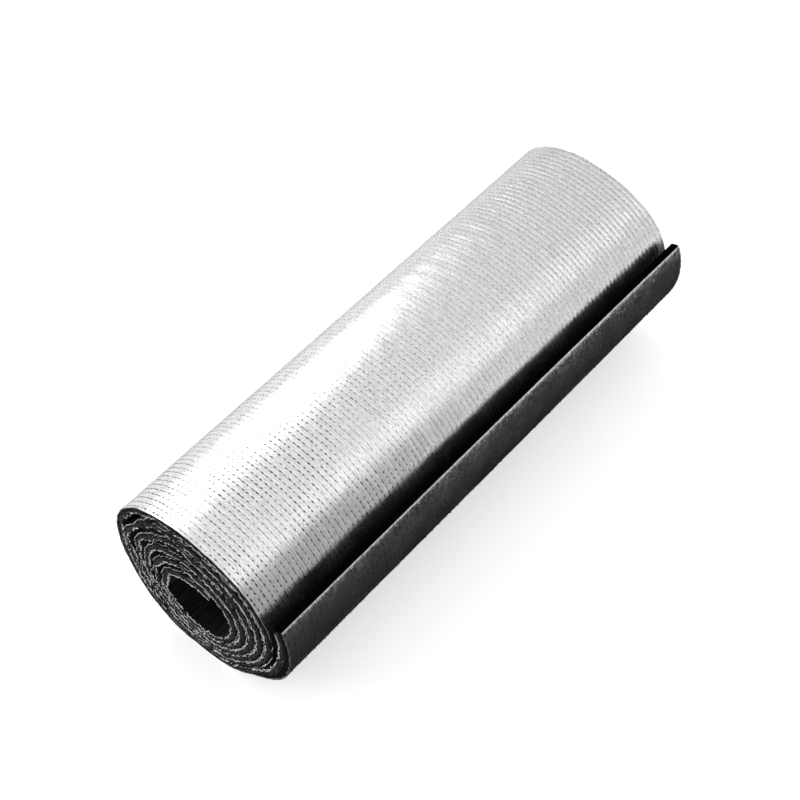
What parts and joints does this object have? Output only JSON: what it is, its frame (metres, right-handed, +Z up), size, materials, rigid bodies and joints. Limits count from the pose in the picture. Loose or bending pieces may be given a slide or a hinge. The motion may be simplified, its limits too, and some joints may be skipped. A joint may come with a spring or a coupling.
{
  "type": "insulation roll",
  "caption": "Roll of foil-faced needled felt insulation mat lying on its side, wound foil outwards round an open bore, with its free end springing clear.",
  "frame": {"origin": "on the floor, under the middle of the roll's overall box", "axes": "+Z up; +Y along the roll, from the front end to the back end; +X to the side where the free end of the mat lies"},
  "size_m": [0.1806, 0.5, 0.1612],
  "materials": {
    "felt": "charcoal needled felt, matt and fibrous, with cut ends",
    "foil": "bright aluminium foil, finely wrinkled, stitched through in close rows round the roll"
  },
  "bodies": {
    "root": {"felt_mat": "felt", "foil_facing": "foil"}
  },
  "joints": []
}
